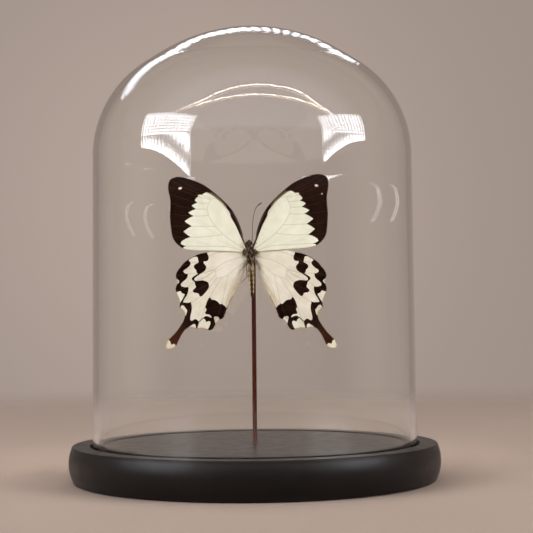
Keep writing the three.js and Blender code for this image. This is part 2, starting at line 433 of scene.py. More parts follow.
def merged(shapes):
    """Several shapes as one."""
    starts = np.cumsum([0] + [len(points) for points, _ in shapes])
    faces = [tuple(i + int(start) for i in face) for start, (_, made) in zip(starts, shapes) for face in made]
    return np.concatenate([points for points, _ in shapes]), faces


def mesh_of(name, shape, material, marks=None):
    """A smooth mesh in millimetres, with numbers stored on its points."""
    points, faces = shape
    mesh = bpy.data.meshes.new(name)
    mesh.from_pydata(np.asarray(points, float).tolist(), [], faces)
    mesh.materials.append(material)
    mesh.polygons.foreach_set("use_smooth", [True] * len(faces))
    for key, values in (marks or {}).items():
        mesh.attributes.new(key, "FLOAT", "POINT").data.foreach_set("value", np.asarray(values, np.float32))
    return mesh


def linked(name, data):
    """A new object in the scene."""
    thing = bpy.data.objects.new(name, data)
    bpy.context.scene.collection.objects.link(thing)
    return thing


def show(mesh, slot, *nodes):
    """Shows a mesh made in millimetres as a finished piece of the object, in place of those frame nodes."""
    mesh.transform(Matrix.Scale(MM, 4))
    piece = linked(mesh.name, mesh)
    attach(piece, "root")
    if nodes:
        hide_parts(*nodes)
    return piece


# ---- base, rod and dome ----
def base_profile():
    """From the middle of the underside over the foot, the bulging side and the groove to the rod's hole."""
    foot, top, height = BASE_FOOT_RADIUS, BASE_TOP_EDGE_RADIUS, BASE_HEIGHT
    edge, soft, rim = BASE_EDGE_ROUNDING, GROOVE_ROUNDING, ROD_HOLE_ROUNDING
    inner, outer, floor = GROOVE_INNER_RADIUS, GROOVE_OUTER_RADIUS, BASE_HEIGHT - GROOVE_DEPTH
    hole, hole_floor = ROD_HOLE_RADIUS, BASE_HEIGHT - ROD_HOLE_DEPTH
    # A parabola passes half way to its control point, so this one bulges to the base's radius.
    bulge = 2 * BASE_RADIUS - (top + foot) / 2
    return [
        (0, 0),
        *bend((foot - edge, 0), (foot, 0), (foot, edge)),
        *bend((foot, edge), (bulge, height / 2), (top, height - edge), 16)[1:],
        *bend((top, height - edge), (top, height), (top - edge, height))[1:],
        *bend((outer + soft, height), (outer, height), (outer, height - soft)),
        *bend((outer, floor + soft), (outer, floor), (outer - soft, floor)),
        *bend((inner + soft, floor), (inner, floor), (inner, floor + soft)),
        *bend((inner, height - soft), (inner, height), (inner - soft, height)),
        *bend((hole + rim, height), (hole, height), (hole, height - rim)),
        (hole, hole_floor),
        (0, hole_floor),
    ]


def dome_wall(inset, degrees_a_step=1.0):
    """The dome's wall from its shoulder to its crown: three arcs that share their tangents."""
    (shoulder, first), (flank, second) = SHOULDER_ARC, FLANK_ARC
    first_cos, second_cos = math.cos(math.radians(first)), math.cos(math.radians(second))
    reach = GLASS_RADIUS - shoulder * (1 - first_cos)
    crown = (reach - flank * (first_cos - second_cos)) / second_cos
    centre = np.array([GLASS_RADIUS - shoulder, GLASS_SHOULDER_HEIGHT])
    start, last_radius, points = 0.0, shoulder, []
    for radius, end in (SHOULDER_ARC, FLANK_ARC, (crown, 90.0)):
        way = np.array([math.cos(math.radians(start)), math.sin(math.radians(start))])
        centre = centre + way * (last_radius - radius)
        for angle in np.radians(np.linspace(start, end, 2 + round((end - start) / degrees_a_step)))[1:]:
            points.append(centre + (radius - inset) * np.array([math.cos(angle), math.sin(angle)]))
        start, last_radius = end, radius
    points[-1][0] = 0.0
    return points


def dome_profile():
    """From the crown down the inside, round the foot and up the outside."""
    outer, inner = GLASS_RADIUS, GLASS_RADIUS - GLASS_WALL
    foot, shoulder, soft = GLASS_FOOT, GLASS_SHOULDER_HEIGHT, GLASS_FOOT_ROUNDING
    return [
        *reversed(dome_wall(GLASS_WALL)),
        (inner, shoulder),
        *bend((inner, foot + soft), (inner, foot), (inner + soft, foot)),
        *bend((outer - soft, foot), (outer, foot), (outer, foot + soft)),
        (outer, shoulder),
        *dome_wall(0),
    ]


def rod_profile():
    """From the middle of the lower end up the side to the middle of the upper end."""
    radius, bottom, top, soft = ROD_BOX[1].x, ROD_BOX[0].z, ROD_BOX[1].z, ROD_END_ROUNDING
    return [
        (0, bottom),
        *bend((radius - soft, bottom), (radius, bottom), (radius, bottom + soft), 3),
        *bend((radius, top - soft), (radius, top), (radius - soft, top), 3),
        (0, top),
    ]


show(mesh_of("base_turned", turned(held(base_profile()), BASE_STEPS), BEECH), "base_wood", "base")
dome_mesh = mesh_of("dome_blown", turned(held(dome_profile()), GLASS_STEPS), GLASS)
dome = show(dome_mesh, "dome_glass", "glass_dome")
# Lamps shine through clear glass, so its shadow and the noise of its caustics are left out.
dome.visible_shadow = False
show(mesh_of("rod_lacquered", turned(held(rod_profile()), ROD_STEPS), ROD), "rod_lacquer", "rod")

# ---- wings: (outward, up) from the middle of the thorax ----
# Each margin runs from the root along the leading edge and back along the inner margin.
FOREWING_MARGIN = [
    (1.6, 4.2), (3.3, 7.6), (3.8, 10.8), (5.3, 15.8), (8.5, 22.4), (12.1, 27.0), (17.4, 32.1), (23.7, 37.2),
    (29.2, 39.9), (33.8, 41.6), (37.9, 42.3), (40.7, 41.9), (43.0, 40.3), (43.8, 37.1), (43.5, 33.7),
    (42.8, 30.1), (42.8, 25.5), (43.1, 21.0), (42.7, 14.7), (42.0, 9.9), (40.8, 7.2), (38.5, 4.7),
    (35.5, 2.9), (29.8, 1.9), (23.3, 1.6), (12.0, 0.9), (4.2, 0.4), (1.6, -0.6),
]
HINDWING_MARGIN = [
    (1.4, 0.6), (8.0, 3.2), (14.5, 2.9), (21.1, 0.9), (24.8, 0.1), (29.0, -0.9), (33.3, -3.1), (36.4, -5.3),
    (38.3, -7.6), (39.9, -9.6), (41.0, -12.2), (40.4, -14.5), (39.7, -15.7), (40.4, -17.2), (41.1, -19.6),
    (40.6, -21.6), (39.9, -23.2), (38.9, -25.8), (38.8, -29.6), (38.0, -30.5), (36.4, -32.0), (36.0, -33.6),
    (36.7, -36.6), (38.6, -39.9), (41.1, -43.3), (43.8, -46.1), (45.3, -47.7), (46.3, -50.6), (45.1, -52.0),
    (42.4, -51.5), (40.8, -50.1), (39.9, -48.2), (37.8, -44.1), (35.6, -41.4), (33.0, -40.4), (29.5, -41.1),
    (26.4, -40.8), (23.4, -41.9), (21.6, -41.8), (20.1, -40.0), (19.2, -38.0), (17.7, -36.5), (15.4, -35.4),
    (14.4, -33.2), (13.4, -30.3), (11.3, -25.9), (8.8, -20.8), (6.3, -16.1), (4.8, -13.0), (3.6, -8.5),
    (1.8, -4.0),
]
# Where the forewing is pale: down its toothed outer edge, under the inner margin, up beside the front band.
FOREWING_PALE = [
    (22.9, 33.6), (24.0, 33.2), (25.0, 32.7), (25.4, 32.2), (26.5, 32.3), (27.8, 32.3), (27.5, 31.3),
    (28.5, 30.7), (29.5, 29.3), (28.0, 27.9), (29.6, 27.4), (31.3, 26.4), (30.0, 25.3), (28.8, 24.5),
    (30.9, 23.8), (33.1, 22.6), (31.7, 21.5), (30.2, 20.7), (32.5, 19.7), (35.2, 17.9), (33.2, 16.4),
    (31.3, 15.1), (33.4, 14.1), (35.9, 12.3), (34.0, 10.6), (32.0, 9.2), (34.6, 8.4), (37.0, 7.0),
    (37.6, 5.6), (36.1, 4.8), (34.6, 4.3), (36.1, 3.7), (36.6, 2.6), (20.0, -3.0), (1.6, -2.5), (2.0, 1.6),
    (2.8, 4.2), (3.5, 5.6), (4.1, 7.0), (5.1, 9.5), (6.1, 12.1), (7.4, 15.2), (8.8, 17.7), (10.1, 20.1),
    (10.2, 21.4), (10.8, 22.8), (12.8, 25.3), (14.6, 27.6), (16.8, 29.5), (18.8, 31.2), (21.2, 32.9),
]
# Centre, half sizes and turn of the white spots; only the right wing has the faint second one.
FOREWING_SPOTS = [((37.3, 36.05), (1.0, 0.62), -14.0), ((40.2, 31.4), (0.42, 0.34), 0.0)]
FOREWING_OLIVE = [(12.4, 25.6), (14.2, 27.9), (16.3, 29.9), (18.4, 31.7), (20.6, 33.3)]
# The hindwing's dark marks hang together: from the front edge through the middle to the outer edge and tail.
HINDWING_MARKS = [
    (24.0, 0.8), (23.9, -0.3), (23.4, -1.4), (23.1, -2.4), (23.2, -3.5), (23.7, -4.3), (24.6, -4.6),
    (25.7, -4.6), (26.0, -5.0), (25.8, -5.8), (25.1, -6.5), (24.4, -7.5), (24.6, -8.7), (25.2, -9.8),
    (26.4, -10.7), (27.8, -11.5), (29.2, -12.5), (30.4, -13.4), (31.0, -14.2), (30.9, -14.9), (30.2, -15.3),
    (28.3, -15.1), (26.5, -14.9), (25.5, -15.2), (24.5, -15.5), (23.6, -16.0), (23.1, -16.9), (22.9, -18.4),
    (23.4, -19.6), (24.5, -21.1), (25.7, -22.5), (26.8, -23.6), (27.7, -23.8), (28.3, -23.3), (28.6, -22.3),
    (29.5, -21.9), (31.0, -21.7), (31.7, -21.2), (31.8, -20.4), (31.1, -19.6), (30.2, -18.8), (30.2, -18.1),
    (30.7, -17.0), (30.8, -15.9), (31.2, -15.5), (32.2, -14.8), (32.4, -13.9), (31.7, -13.0), (30.3, -12.1),
    (29.0, -11.4), (29.8, -10.6), (29.9, -9.5), (30.7, -8.7), (31.3, -7.8), (31.1, -6.8), (30.2, -6.0),
    (29.0, -5.4), (28.6, -5.0), (28.9, -3.9), (29.1, -2.8), (29.5, -2.1), (31.0, -2.1), (32.1, -2.7),
    (33.4, -3.4), (34.0, -3.9), (33.8, -4.5), (33.1, -4.9), (32.9, -5.6), (33.1, -6.5), (33.9, -7.5),
    (35.1, -8.5), (36.4, -9.3), (36.9, -10.0), (36.5, -10.8), (35.5, -11.4), (34.6, -11.3), (34.5, -12.1),
    (34.7, -13.3), (35.6, -14.5), (36.9, -15.5), (38.0, -16.6), (38.3, -17.4), (38.0, -18.1), (36.7, -18.6),
    (35.3, -18.7), (34.3, -18.5), (34.1, -19.4), (34.2, -20.8), (34.6, -22.1), (35.2, -23.4), (36.2, -24.8),
    (36.9, -26.2), (37.1, -27.0), (35.8, -27.1), (34.3, -27.2), (33.2, -26.9), (32.6, -26.2), (32.8, -27.4),
    (32.4, -28.5), (32.3, -30.2), (32.5, -32.0), (32.9, -33.5), (33.2, -35.0), (33.2, -36.5), (32.4, -37.0),
    (31.6, -36.6), (30.9, -36.1), (30.1, -36.0), (29.3, -36.6), (28.7, -37.3), (28.5, -38.2), (28.9, -39.3),
    (29.3, -40.5), (29.2, -42.6), (30.4, -42.6), (30.1, -40.2), (30.4, -39.1), (31.2, -38.6), (32.1, -39.1),
    (33.5, -40.0), (34.5, -41.0), (34.5, -44.0), (38.5, -50.0), (39.8, -51.6), (41.0, -50.3), (41.7, -49.5),
    (42.4, -49.3), (43.1, -49.8), (43.8, -49.6), (43.8, -48.7), (44.2, -48.0), (44.9, -47.3), (46.4, -46.4),
    (44.0, -43.5), (40.0, -37.5), (38.0, -34.6), (36.1, -34.3), (35.6, -34.0), (35.2, -32.8), (34.9, -31.8),
    (34.9, -31.0), (35.4, -30.5), (35.9, -29.8), (36.4, -29.1), (37.2, -28.6), (37.9, -28.6), (38.4, -29.4),
    (38.8, -30.6), (40.4, -30.0), (39.2, -28.0), (38.5, -26.8), (37.5, -25.3), (36.7, -23.8), (36.1, -22.6),
    (37.0, -22.2), (37.8, -21.9), (38.1, -21.2), (38.6, -20.8), (39.7, -21.1), (40.6, -21.4), (42.4, -21.2),
    (42.4, -17.8), (40.3, -17.1), (39.5, -16.3), (39.1, -15.5), (39.6, -14.8), (40.5, -14.2), (42.4, -14.0),
    (42.4, -9.5), (39.5, -5.5), (36.5, -2.6), (33.0, -0.5), (29.0, 1.4), (25.5, 2.3),
]
HINDWING_INNER_MARK = [
    (22.1, -24.4), (22.7, -24.2), (23.4, -25.0), (24.0, -26.2), (24.5, -27.5), (24.9, -28.8), (25.1, -29.8),
    (24.4, -30.7), (24.8, -31.8), (25.2, -32.7), (24.7, -33.5), (23.6, -33.5), (22.6, -33.8), (21.9, -34.5),
    (21.6, -35.1), (22.0, -35.3), (23.0, -34.7), (24.2, -34.4), (25.2, -34.5), (26.2, -35.4), (25.4, -36.2),
    (24.8, -36.8), (24.8, -37.7), (24.0, -37.4), (23.0, -37.1), (22.3, -37.5), (22.2, -38.3), (22.7, -39.8),
    (23.4, -41.2), (24.2, -41.9), (24.0, -43.4), (20.5, -43.4), (18.0, -40.4), (19.2, -39.2), (19.7, -38.0),
    (19.9, -37.0), (20.2, -36.0), (20.4, -35.1), (19.5, -34.6), (18.2, -34.8), (17.5, -35.6), (17.0, -37.2),
    (13.0, -36.6), (11.8, -30.4), (13.9, -29.8), (14.4, -28.9), (15.2, -28.4), (15.9, -27.7), (16.4, -27.9),
    (17.1, -28.0), (18.0, -26.9), (19.1, -26.0), (20.3, -25.6), (21.5, -25.5), (22.0, -25.0),
]
HINDWING_THREAD = [(26.0, -35.3), (27.2, -36.4), (28.0, -37.1), (28.8, -37.6)]
HINDWING_OCHRE = [(7.4, -17.0), (9.4, -19.4), (10.9, -22.6), (12.1, -26.5), (13.2, -29.6)]
HINDWING_DUSK = [(1.4, -3.0), (3.0, -5.7), (4.5, -7.7), (5.7, -9.8)]
FOREWING_VEINS = [
    [(3.0, 2.4), (5.0, 3.4), (8.0, 5.6), (12.2, 8.7), (14.3, 10.4), (16.2, 12.4), (18.5, 14.9), (20.6, 17.8),
     (22.0, 20.5), (22.7, 23.4), (22.6, 26.0), (20.8, 29.6)],
    [(3.0, 4.2), (4.2, 8.0), (6.2, 12.8), (8.3, 17.0), (10.6, 21.4), (13.6, 25.8), (17.2, 29.8), (20.8, 32.4),
     (25.5, 34.2), (32.0, 37.0), (38.0, 41.2)],
    [(17.2, 29.8), (21.5, 30.6), (25.4, 32.2), (33.0, 35.6), (41.8, 40.2)],
    [(20.8, 29.6), (27.5, 31.3), (35.5, 34.4), (43.2, 37.0)],
    [(22.2, 27.6), (28.3, 27.9), (36.0, 30.4), (42.9, 32.8)],
    [(22.8, 24.4), (29.3, 24.5), (36.0, 25.8), (42.6, 27.8)],
    [(22.2, 21.0), (26.5, 20.6), (30.8, 20.7), (37.0, 21.2), (42.8, 22.0)],
    [(18.5, 14.9), (25.0, 15.0), (31.8, 15.1), (38.0, 15.2), (42.5, 15.8)],
    [(14.3, 10.4), (20.0, 9.6), (26.0, 9.1), (32.5, 9.1), (38.0, 9.1), (41.7, 9.6)],
    [(3.0, 1.0), (8.0, 2.5), (12.0, 3.6), (18.0, 4.0), (26.0, 4.1), (34.9, 4.3), (38.3, 4.9)],
]
HINDWING_VEINS = [
    [(2.4, -0.2), (6.0, 1.4), (10.0, 1.5), (18.0, 0.2), (24.5, -2.4), (27.4, -4.8), (33.0, -5.4),
     (38.0, -7.4)],
    [(2.6, -1.6), (9.0, -3.4), (13.3, -4.7), (17.6, -7.1), (19.6, -9.0), (24.0, -10.4), (28.3, -11.3),
     (34.6, -11.4), (40.7, -12.3)],
    [(19.6, -9.0), (24.5, -13.2), (30.9, -15.3), (34.4, -18.5), (40.8, -20.5)],
    [(19.6, -9.0), (19.3, -11.8), (18.9, -13.9)],
    [(19.3, -11.8), (24.5, -17.8), (31.5, -20.8), (34.6, -23.0), (38.6, -29.2)],
    [(2.4, -3.4), (4.2, -4.9), (5.9, -6.8), (8.6, -8.6), (10.7, -10.5), (12.7, -12.0), (15.1, -13.2),
     (18.9, -13.9), (23.3, -19.4), (27.9, -23.9), (32.7, -27.2), (33.8, -32.0), (36.2, -38.6), (39.6, -44.6),
     (42.6, -49.6)],
    [(15.8, -13.4), (19.6, -19.0), (22.6, -24.2), (25.1, -30.2), (27.3, -36.0), (29.4, -40.8)],
    [(12.6, -12.0), (14.2, -18.5), (15.9, -27.7), (18.6, -34.6), (20.8, -38.4), (22.0, -41.6)],
    [(2.2, -4.6), (3.6, -6.8), (5.7, -9.8), (7.7, -11.8), (9.1, -13.9), (10.2, -15.9), (11.2, -18.2),
     (12.3, -20.8), (12.9, -24.5), (14.0, -29.5), (15.4, -34.8)],
]
# Shift in millimetres and tilt in degrees in the insect's plane, and the depth of the wing's middle.
FOREWING_SET = {"shift": -0.3, "tilt": 0.7, "depth": -3.9}
HINDWING_SET = {"shift": 0.4, "tilt": -0.3, "depth": -3.58}
GRID_PITCH = 0.33
OUTLINE_STEP = 0.45
VEIN_STEP = 0.7
# A vein's radii at its start and end; the cross vein, given by three points, is thinner.
VEIN_RADII = (0.2, 0.11)
CROSS_VEIN_SHARE = 0.6


def distance(places, line):
    """Each place's distance to a line of points."""
    line = np.asarray(line, float)
    start, run = line[:-1], line[1:] - line[:-1]
    away = places[:, None] - start[None]
    length = np.maximum((run**2).sum(1), 1e-12)
    share = np.clip((away * run).sum(2) / length, 0, 1)
    return np.sqrt(((away - share[..., None] * run) ** 2).sum(2).min(1))


def inside(places, outline):
    """Which places lie inside a closed outline."""
    first, second = np.asarray(outline, float), np.roll(outline, -1, axis=0)
    x, z = places[:, :1], places[:, 1:]
    spans = (first[:, 1] > z) != (second[:, 1] > z)
    rise = np.where(second[:, 1] == first[:, 1], 1, second[:, 1] - first[:, 1])
    crossing = first[:, 0] + (z - first[:, 1]) * (second[:, 0] - first[:, 0]) / rise
    return (spans & (x < crossing)).sum(1) % 2 == 1


def depth_in(places, outline):
    """How deep each place lies inside a closed outline, and less than nothing outside it."""
    closed = np.concatenate([outline, outline[:1]])
    away = distance(places, closed)
    return np.where(inside(places, outline), away, -away)


def fade(values, full, none):
    """1 where values reach full, 0 where they reach none, smooth between."""
    share = np.clip((np.asarray(values) - none) / (full - none), 0, 1)
    return share * share * (3 - 2 * share)


def forewing_marks(places, outline, side):
    """How strongly each colour shows at each place; the dark one is a depth in millimetres."""
    pale = depth_in(places, np.array(FOREWING_PALE))
    spots = []
    for centre, half, turn in FOREWING_SPOTS[: 1 if side < 0 else 2]:
        c, s = math.cos(math.radians(turn)), math.sin(math.radians(turn))
        local = (places - centre) @ np.array([[c, -s], [s, c]]) / half
        spots.append((1 - np.linalg.norm(local, axis=1)) * min(half))
    spot = np.max(spots, axis=0)
    leading = distance(places, outline[: len(outline) // 3])
    costa = fade(leading, 0.6, 1.1) * fade(places[:, 1], 20.0, 25.0) * 0.22
    olive = fade(distance(places, FOREWING_OLIVE), 0.15, 0.5) * 0.7
    root = fade(places[:, 0], 1.6, 3.0)
    return {
        "dark": np.maximum(-np.maximum(pale, spot), root * 2 - 1.2),
        "olive": np.maximum(olive, costa),
        "ochre": np.zeros(len(places)),
        "warm": np.zeros(len(places)),
        "dusk": fade(distance(places, [(3.2, 0.2), (4.6, 0.1)]), 0.2, 1.1) * 0.7,
    }


def hindwing_marks(places, outline, side):
    """The same for a hindwing."""
    marks, inner_mark = (depth_in(places, np.array(mark)) for mark in (HINDWING_MARKS, HINDWING_INNER_MARK))
    thread = 0.22 - distance(places, HINDWING_THREAD)
    lower_rim = fade(distance(places, outline), 0.1, 0.55) * fade(places[:, 1], -30.0, -24.0)
    blotch = [0.5 + 0.8 * noise.noise(Vector((z * 0.45, side * 3.0, 1.0))) for z in places[:, 1]]
    inner_margin = fade(distance(places, HINDWING_OCHRE), 0.1, 1.5) * np.clip(blotch, 0.1, 0.8)
    brown_rim = 0.14 - distance(places, [(9.9, -22.6), (11.3, -25.9), (13.4, -30.3), (14.0, -32.0)])
    root = fade(places[:, 0], 1.8, 3.2)
    tail_end = fade(places[:, 1], -50.5, -47.0)
    return {
        "dark": np.max([marks, inner_mark, thread, brown_rim, root - 0.8], axis=0),
        "olive": np.zeros(len(places)),
        "ochre": np.max([lower_rim * 0.85, inner_margin, tail_end * 0.12], axis=0),
        "warm": fade(places[:, 1], -45.0, -36.0) * fade(places[:, 0], 36.0, 30.0),
        "dusk": fade(distance(places, HINDWING_DUSK), 0.1, 0.9) * fade(places[:, 0], 3.0, 7.0) * 0.35,
    }


def wing_rise(places):
    """How far a dried wing stands forward of flat: lifted towards its tip, with slow buckles."""
    across, up = places[:, 0], places[:, 1]
    buckle = [0.28 * noise.noise(Vector((x * 0.07, z * 0.09, 2.5))) for x, z in places]
    return 1.3 * (across / 44) ** 2 + np.array(buckle) * fade(across, 14, 4) + 0.004 * up


def painted_crease_shade(places):
    """Painted shade of fine creases: streaks that fan out from the wing's root, as numbers about 0."""
    angle, away = np.arctan2(places[:, 1], places[:, 0]), np.hypot(*places.T)
    return [noise.noise(Vector((a * 26, r * 0.06, 4.0))) + 0.5 * noise.noise(Vector((a * 55, r * 0.1, 9.0)))
            for a, r in zip(angle, away)]


def wing_points(places, side, wing_set, rise):
    """Places on a wing as points of the object."""
    tilt = math.radians(wing_set["tilt"])
    x = side * places[:, 0] * math.cos(tilt) - places[:, 1] * math.sin(tilt)
    z = side * places[:, 0] * math.sin(tilt) + places[:, 1] * math.cos(tilt)
    y = np.full(len(places), wing_set["depth"]) - rise
    return np.stack([x + wing_set["shift"], y, z], 1) + INSECT


def wing_sheet(outline):
    """Triangles over a wing: its outline and an even grid of points inside it."""
    low, high = outline.min(0), outline.max(0)
    rows = np.arange(low[1], high[1], GRID_PITCH * math.sqrt(3) / 2)
    columns = np.arange(low[0], high[0], GRID_PITCH)
    grid = np.array([(x + (i % 2) * GRID_PITCH / 2, z) for i, z in enumerate(rows) for x in columns])
    grid = grid[depth_in(grid, outline) > GRID_PITCH * 0.5]
    points = [Vector(p) for p in np.concatenate([outline, grid])]
    edges = [(i, (i + 1) % len(outline)) for i in range(len(outline))]
    made = delaunay_2d_cdt(points, edges, [], 0, 1e-5, False)
    flat, faces = np.array([tuple(p) for p in made[0]]), np.array(made[2])
    within = inside(flat[faces].mean(1), outline)
    return flat, [tuple(int(i) for i in face) for face in faces[within]]


def rim_of(faces):
    """The edges that only one face uses, in that face's direction."""
    edges = [(a, b) for face in faces for a, b in zip(face, face[1:] + face[:1])]
    used = set(edges)
    return [(a, b) for a, b in edges if (b, a) not in used]


def inner_roll(places, margin):
    """How far a hindwing's inner margin rolls back beside the abdomen."""
    inner = through(margin[-10:], 0.6)
    return 1.5 * fade(distance(places, inner), 0.0, 3.2) * fade(places[:, 1], -9.0, -3.0)


def make_wing(kind, side, margin, veins, marks_of, wing_set, material):
    """One wing: a thin sheet with a rounded vein over each of its lines, and its hair and fringe."""

    def set_up(flat, depths):
        rise = wing_rise(flat)
        if kind == "hindwing":
            rise = rise - inner_roll(flat, margin)
        return wing_points(flat, side, wing_set, rise + depths)

    outline = through(margin, OUTLINE_STEP)
    flat, faces = wing_sheet(outline)
    count = len(flat)
    front, back = set_up(flat, WING_SHEET / 2), set_up(flat, -WING_SHEET / 2)
    rim = rim_of(faces)
    band = [(b, a, a + count, b + count) for a, b in rim]
    closed = faces + [tuple(i + count for i in reversed(face)) for face in faces] + band
    shapes = [outward(np.concatenate([front, back]), closed)]
    places, under = [flat, flat], [np.zeros(count), np.ones(count)]
    for vein in veins:
        line = through(vein, VEIN_STEP)
        radii = np.linspace(*VEIN_RADII, len(line)) * (1 if len(vein) > 3 else CROSS_VEIN_SHARE)
        points, sides = tube(np.concatenate([line, np.zeros((len(line), 1))], 1), radii, 6)
        over = points[:, :2]
        shapes.append(outward(set_up(over, points[:, 2] * 0.6), sides))
        places.append(over)
        under.append((points[:, 2] < 0).astype(float))
    places = np.concatenate(places)
    marks = marks_of(places, outline, side)
    marks["vein"] = np.min([distance(places, vein) for vein in veins], axis=0)
    marks["crease_shade"] = painted_crease_shade(places)
    marks["rim"] = distance(places, outline)
    marks["under"] = np.concatenate(under)
    name = f"{kind}_{'left' if side < 0 else 'right'}"
    show(mesh_of(f"{name}_scaled", merged(shapes), material, marks), "wing_scales", name)
    add_wing_hair(kind, side, flat, faces, front, back)
    add_fringe(name, side, flat, rim, front, back, marks["dark"][:count])


# ---- hairs: one tree grows them all ----
HAIR_INPUTS = {
    "Surface": "Geometry", "Hairs per mm2": "Float", "Length": "Float", "Root radius": "Float",
    "Comb": "Vector", "Lean": "Float", "Scatter": "Float", "Bend": "Float", "Seed": "Int",
    "Hair material": "Material",
}
STORE = "GeometryNodeStoreNamedAttribute", {"data_type": "FLOAT"}
RANDOM = "FunctionNodeRandomValue"
ARROWS = "ShaderNodeVectorMath"


def hair_tree():
    """Tapered, bent hairs scattered over a surface where it is hairy, leaning with a comb direction."""
    tree = bpy.data.node_groups.new("hairs over a surface", "GeometryNodeTree")
    tree.interface.new_socket("Hairs", in_out="OUTPUT", socket_type="NodeSocketGeometry")
    for name, kind in HAIR_INPUTS.items():
        tree.interface.new_socket(name, in_out="INPUT", socket_type="NodeSocket" + kind)
    given = put(tree, "NodeGroupInput").outputs
    length, lean, seed = given["Length"], given["Lean"], given["Seed"]
    hairy = put(tree, "GeometryNodeInputNamedAttribute", "hairy", data_type="FLOAT")
    density = put(tree, MATH, hairy, given["Hairs per mm2"], operation="MULTIPLY")
    sown = put(tree, "GeometryNodeDistributePointsOnFaces",
               {"Mesh": given["Surface"], "Density": density, "Seed": seed}).outputs
    stray = put(tree, RANDOM, {0: (-1, -1, -1), 1: (1, 1, 1), "Seed": seed}, data_type="FLOAT_VECTOR")
    upright = put(tree, MATH, 1.0, lean, operation="SUBTRACT")
    standing = put(tree, ARROWS, {0: sown["Normal"], "Scale": upright}, operation="SCALE")
    combed = put(tree, ARROWS, {0: given["Comb"], "Scale": lean}, operation="SCALE")
    tousled = put(tree, ARROWS, {0: stray, "Scale": given["Scatter"]}, operation="SCALE")
    way = put(tree, ARROWS, put(tree, ARROWS, standing, combed, operation="ADD"), tousled, operation="ADD")
    turn = put(tree, "FunctionNodeAlignRotationToVector", {"Vector": way}, axis="Z")
    size = put(tree, RANDOM, {2: 0.55, 3: 1.15, "Seed": seed}, data_type="FLOAT")
    cone = put(tree, "GeometryNodeMeshCone", 3, 3, 0.0, given["Root radius"], length, fill_type="NONE")
    height = put(tree, "ShaderNodeSeparateXYZ", put(tree, "GeometryNodeInputPosition")).outputs["Z"]
    along = put(tree, MATH, height, length, operation="DIVIDE")
    bow = put(tree, MATH, along, height, operation="MULTIPLY")
    sag = put(tree, MATH, bow, given["Bend"], operation="MULTIPLY")
    marked = put(tree, STORE, {"Geometry": cone, "Name": "along", "Value": along}, domain="POINT")
    sagged = {"Geometry": marked, "Offset": put(tree, "ShaderNodeCombineXYZ", sag)}
    hair = put(tree, "GeometryNodeSetPosition", sagged)
    planted = put(tree, "GeometryNodeInstanceOnPoints",
                  {"Points": sown["Points"], "Instance": hair, "Rotation": turn, "Scale": size})
    each = put(tree, "GeometryNodeInputIndex")
    tone = put(tree, RANDOM, {2: 0.0, 3: 1.0, "ID": each, "Seed": seed}, data_type="FLOAT")
    toned = put(tree, STORE, {"Geometry": planted, "Name": "tone", "Value": tone}, domain="INSTANCE")
    real = put(tree, "GeometryNodeRealizeInstances", toned)
    dyed = {"Geometry": real, "Material": given["Hair material"]}
    put(tree, "NodeGroupOutput", put(tree, "GeometryNodeSetMaterial", dyed))
    return tree


HAIRS = hair_tree()


def grow(name, shape, hairy, material, slot, *coat):
    """Shows the hairs that grow from a shape, as dense as hairy says at each point.

    A coat is given as hairs per mm2, length, root radius, comb direction, lean, scatter, bend and seed.
    """
    surface = mesh_of("surface", shape, material, {"hairy": hairy})
    holder = linked("surface", surface)
    modifier = holder.modifiers.new("hairs", "NODES")
    modifier.node_group = HAIRS
    values = dict(zip(HAIR_INPUTS, (None, *coat, material)))
    for socket in HAIRS.interface.items_tree:
        if values.get(socket.name) is not None:
            modifier[socket.identifier] = values[socket.name]
    graph = bpy.context.evaluated_depsgraph_get()
    ready = holder.evaluated_get(graph)
    grown = bpy.data.meshes.new_from_object(ready, preserve_all_data_layers=True, depsgraph=graph)
    holder.modifiers.remove(modifier)
    bpy.data.objects.remove(holder)
    bpy.data.meshes.remove(surface)
    grown.name = name
    grown.polygons.foreach_set("use_smooth", [True] * len(grown.polygons))
    return show(grown, slot)


FRINGE_COAT = (75.0, 0.42, 0.035, (0.0, 0.0, -1.0), 0.15, 0.25, 0.2, 11)


def add_fringe(name, side, flat, rim, front, back, dark):
    """The short scales that stand out from a wing's edge: brown along its dark stretches, else cream."""
    count = len(front)
    faces = [(b, a, a + count, b + count) for a, b in rim]
    if side < 0:
        faces = [tuple(reversed(face)) for face in faces]
    edge = np.concatenate([front, back]), faces
    clear_of_body = fade(flat[:, 0], 7.0, 5.0)
    for tint, where, material in (("brown", dark >= 0, DARK_FRINGE), ("cream", dark < 0, PALE_FRINGE)):
        hairy = np.tile(where * clear_of_body, 2)
        grow(f"{name}_fringe_{tint}", edge, hairy, material, "wing_scales", *FRINGE_COAT)


def add_wing_hair(kind, side, flat, faces, front, back):
    """Long hair over a wing's root, and down the inner margin of a hindwing, on its front and back."""
    count = len(front)
    closed = faces + [tuple(i + count for i in reversed(face)) for face in faces]
    if side > 0:
        closed = [tuple(reversed(face)) for face in closed]
    if kind == "forewing":
        hairy = fade(flat[:, 0] + 0.25 * np.abs(flat[:, 1] - 3.0), 2.6, 5.6)
        comb = (side * 0.9, -0.1, 0.35)
    else:
        beside_body = fade(distance(flat, HINDWING_DUSK), 0.4, 1.6) * 0.7
        lower = fade(distance(flat, [(4.2, -9.0), (5.6, -14.0), (8.3, -19.6)]), 0.3, 1.5) * 0.35
        hairy = np.max([fade(np.hypot(*flat.T), 3.0, 6.0), beside_body, lower], axis=0)
        comb = (side * 0.45, -0.1, -0.85)
    coat = (9.0, 1.7, 0.04, comb, 0.85, 0.3, 0.12, 13)
    name = f"{kind}_hair_{'left' if side < 0 else 'right'}"
    grow(name, (np.concatenate([front, back]), closed), np.tile(hairy, 2), THORAX_HAIR, "body_hair", *coat)


